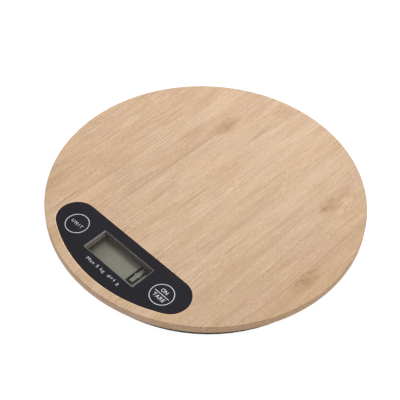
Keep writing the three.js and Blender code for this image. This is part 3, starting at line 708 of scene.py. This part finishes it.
def build_board():
    grain, painted_highlight, painted_shade = 0, 1, 2
    pocket = film_outline(POCKET_GAP)
    eased = film_outline(POCKET_GAP + POCKET_EASE)
    opening = rounded_rectangle(PANE_HALF, WINDOW_CORNER, WINDOW_CENTRE, -OPENING_LEDGE)
    rim = [(circle((0, 0), radius, 256), z) for radius, z in rim_profile()]
    board = Solid().cap(TOP, rim[-1][0], eased, wears=grain)
    # The pocket's eased edge wears a painted highlight.
    board.wall(pocket, TOP - POCKET_EASE_DROP, eased, TOP, wears=painted_highlight)
    # The pocket's walls and floor, the window's walls and the key bores wear painted shade.
    board.wall(pocket, POCKET_FLOOR, pocket, TOP - POCKET_EASE_DROP, wears=painted_shade)
    board.wall(opening, BOARD_LOW.z, opening, POCKET_FLOOR, wears=painted_shade)
    bores, stems = [], []
    for centre in KEY_PLACES.values():
        bore = circle(centre, BORE_RADIUS)
        stem = circle(centre, STEM_HOLE_RADIUS)
        board.wall(bore, BORE_FLOOR, bore, POCKET_FLOOR, wears=painted_shade)
        board.cap(BORE_FLOOR, bore, stem, wears=painted_shade)
        board.wall(stem, BOARD_LOW.z, stem, BORE_FLOOR, wears=painted_shade)
        bores.append(bore)
        stems.append(stem)
    board.cap(POCKET_FLOOR, pocket, opening, *bores, wears=painted_shade)
    board.cap(BOARD_LOW.z, rim[0][0], opening, *stems, wears=grain)
    for (inner, low), (outer, high) in zip(rim, rim[1:]):
        board.wall(inner, low, outer, high, wears=grain)
    piece = board.build("board", "bamboo", "bamboo_edge_painted_highlight", "bamboo_bore_painted_shade")
    settle(piece, "bamboo", BODY, "bamboo_platter")


# ---- Overlay, window and keys ----


def build_overlay():
    black, bare_and_glint = 0, 1
    outline = film_outline()
    border, window = rounded_rectangle(**PRINT_EDGE), rounded_rectangle(**PANE_EDGE)
    border_low = FILM_TOP - BORDER_DROP
    keys = [circle(centre, KEY_HOLE_RADIUS, KEY_STEPS) for centre in KEY_PLACES.values()]
    film = Solid()
    film.cap(FILM_LOW.z, outline, window, *keys, wears=black)
    film.cap(FILM_TOP, outline, border, *keys, wears=black)
    film.wall(window, border_low, border, FILM_TOP, wears=bare_and_glint)
    film.wall(window, FILM_LOW.z, window, border_low, wears=bare_and_glint)
    for loop in (outline, *keys):
        film.wall(loop, FILM_LOW.z, loop, FILM_TOP, wears=black)
    sheet = film.build("overlay_sheet", "overlay_film", "film_border_and_glint")
    settle(sheet, "overlay_film", BODY, "control_overlay")
    clear = rounded_rectangle(**PANE_EDGE, grow=-PANE_GAP)
    pane = prism("window_pane", "clear_window", FILM_LOW.z, border_low, clear)
    settle(soften(pane, PANE_BEVEL), "clear_window", BODY, "display_window")


def build_key(name):
    centre = KEY_PLACES[name]
    outline = circle(centre, KEY_DISC_RADIUS, KEY_STEPS)
    disc = prism(f"{name}_key_disc", "overlay_film", FILM_LOW.z, FILM_TOP, outline)
    settle(soften(disc, KEY_DISC_BEVEL), "overlay_film", f"{name}_key", f"{name}_key_film")
    loops = [circle(centre, radius, KEY_STEPS) for radius in KEY_RING]
    settle(prism(f"{name}_key_ring", "print_ink", FILM_TOP, TOP, *loops), PRINT_SLOT, BODY)


# ---- Print ----

PRINT_SLOT = "white_plastic"
CAP_SHARE = 0.7  # the cap height of the built-in typeface, as a share of its size


def lettering(name, text, size, centre, body, spacing=1.0, weight=0.0):
    """Printed words as a thin layer of ink on the film, centred on a point and squeezed to a size."""
    width, height = size
    curve = bpy.data.curves.new(name, "FONT")
    curve.body = text
    curve.size = height / CAP_SHARE
    curve.space_character = spacing
    curve.align_x = "CENTER"
    curve.extrude = INK / 2
    curve.offset = weight
    curve.resolution_u = 6
    source = bpy.data.objects.new(f"{name}_outline", curve)
    bpy.context.scene.collection.objects.link(source)
    bpy.context.view_layer.update()
    squeeze = width / source.dimensions.x
    data = bpy.data.meshes.new_from_object(source)
    data.name = name
    bpy.data.objects.remove(source)
    foot = Matrix.Translation((centre[0], centre[1] - height / 2, TOP - INK / 2))
    data.transform(foot @ Matrix.Diagonal((squeeze, 1, 1, 1)))
    letters = bmesh.new()
    letters.from_mesh(data)
    bmesh.ops.remove_doubles(letters, verts=letters.verts, dist=1e-7)
    letters.to_mesh(data)
    letters.free()
    settle(place(name, data, "print_ink"), PRINT_SLOT, body)


# The words on the keys: key, words, offset from the key's centre, size, letter spacing and added weight.
# The offset, size and weight are in millimetres, and the spacing is a factor.
KEY_WORDS = {
    "unit_word": ("unit", "UNIT", (0, 0), (8.8, 2.3), 1.5, -0.03),
    "on_word": ("tare", "ON", (-0.3, 2.7), (4.6, 2.5), 1.0, 0.0),
    "tare_word": ("tare", "TARE", (0, -2.5), (8.6, 2.5), 1.1, 0.0),
}
TARE_BAR = {"half": (5.6 * MM, 0.18 * MM), "corner": 0.05 * MM}
CAPACITY_PLACE = (0.6 * MM, -86.1 * MM)
CAPACITY_SIZE = (27.5 * MM, 2 * MM)
CAPACITY_SPACING = 1.15
CAPACITY_WEIGHT = -0.03 * MM


def build_print():
    for name, (key, text, offset, size, spacing, weight) in KEY_WORDS.items():
        centre = [place + shift * MM for place, shift in zip(KEY_PLACES[key], offset)]
        lettering(name, text, [length * MM for length in size], centre, f"{key}_key", spacing, weight * MM)
    bar = rounded_rectangle(**TARE_BAR, centre=KEY_PLACES["tare"])
    settle(prism("tare_bar", "print_ink", FILM_TOP, TOP, bar), PRINT_SLOT, "tare_key")
    words = "Max 5 kg  d=1 g"
    lettering(
        "capacity_words", words, CAPACITY_SIZE, CAPACITY_PLACE, BODY, CAPACITY_SPACING, CAPACITY_WEIGHT
    )


# ---- Display ----

DIGIT_CENTRE = (14.1 * MM, -71.4 * MM)
DIGIT_HALF = (2.2 * MM, 6.4 * MM)
SEGMENT_HALF_WIDTH = 0.84 * MM
SEGMENT_GAP = 0.06 * MM


def bar_end(point, inward, outward):
    """The outer and the inner corner of a bar's mitred end, where inward leads into the bar."""
    tip = point + SEGMENT_GAP * inward
    mitre = SEGMENT_HALF_WIDTH * (inward - outward)
    return [tip - mitre, tip + mitre]


def lcd_segment(name, start, end):
    """One bar of a digit, whose outside is on the right of the way from its start to its end.

    Both ends are mitred, also halfway up, where the outsides of the two bars in line overlap.
    """
    along = (end - start).normalized()
    outward = Vector((along.y, -along.x))
    outline = bar_end(start, along, outward) + bar_end(end, -along, outward)[::-1]
    segment = prism(name, "lcd_segment", LCD_HIGH.z, LCD_HIGH.z + INK, outline)
    settle(segment, "switch_plastic", BODY)


def build_display():
    half = (LCD_HIGH.x, (LCD_HIGH.y - LCD_LOW.y) / 2)
    outline = rounded_rectangle(half, LCD_CORNER, (0, (LCD_HIGH.y + LCD_LOW.y) / 2))
    glass = prism("lcd_face", "lcd_glass", LCD_LOW.z, LCD_HIGH.z, outline)
    settle(soften(glass, LCD_BEVEL), "lcd_glass", BODY, "lcd_glass")
    cx, cy = DIGIT_CENTRE
    half_x, half_y = DIGIT_HALF
    left = [Vector((cx - half_x, cy + side * half_y)) for side in (1, 0, -1)]
    right = [Vector((cx + half_x, cy + side * half_y)) for side in (-1, 0, 1)]
    ends = left + right
    for index, start in enumerate(ends):
        lcd_segment(f"lcd_segment_{index + 1}", start, ends[(index + 1) % len(ends)])


# ---- CAD nodes that keep their shape ----

CAD_SMOOTH_ANGLE = 32  # the CAD's rounds are faceted more coarsely than the pieces made here


def smoothing_group():
    """Geometry nodes that weld a CAD mesh and shade it smooth except across its sharp edges."""
    tree = bpy.data.node_groups.new("smooth_by_angle", "GeometryNodeTree")
    for direction in ("INPUT", "OUTPUT"):
        tree.interface.new_socket("Geometry", in_out=direction, socket_type="NodeSocketGeometry")
    weld = tree.nodes.new("GeometryNodeMergeByDistance")
    weld.inputs["Distance"].default_value = 1e-6
    smooth = tree.nodes.new("GeometryNodeSetShadeSmooth")
    crisp = tree.nodes.new("GeometryNodeSetShadeSmooth")
    crisp.domain = "EDGE"
    crisp.inputs["Shade Smooth"].default_value = False
    angle = tree.nodes.new("GeometryNodeInputMeshEdgeAngle")
    sharp = tree.nodes.new("ShaderNodeMath")
    sharp.operation = "GREATER_THAN"
    sharp.inputs[1].default_value = math.radians(CAD_SMOOTH_ANGLE)
    tree.links.new(angle.outputs["Unsigned Angle"], sharp.inputs[0])
    tree.links.new(sharp.outputs[0], crisp.inputs["Selection"])
    passed = tree.nodes.new("NodeGroupInput").outputs[0]
    for node in (weld, smooth, crisp):
        tree.links.new(passed, node.inputs["Geometry"])
        passed = node.outputs[0]
    tree.links.new(passed, tree.nodes.new("NodeGroupOutput").inputs[0])
    return tree


def dress_cad_nodes():
    tree = smoothing_group()
    slots = {entry["node"]: entry["material_slot"] for entry in frame["record"]["subparts"]}
    for name, node in frame["nodes"].items():
        node.data.materials.clear()
        node.data.materials.append(MATERIALS[slots[name]])
        node.modifiers.new("smooth_by_angle", "NODES").node_group = tree
        node.modifiers.new("face_normals", "WEIGHTED_NORMAL").keep_sharp = True


# ---- The scene ----

aim_camera()
build_studio()
dress_cad_nodes()
build_board()
build_overlay()
for key_name in KEY_PLACES:
    build_key(key_name)
build_print()
build_display()
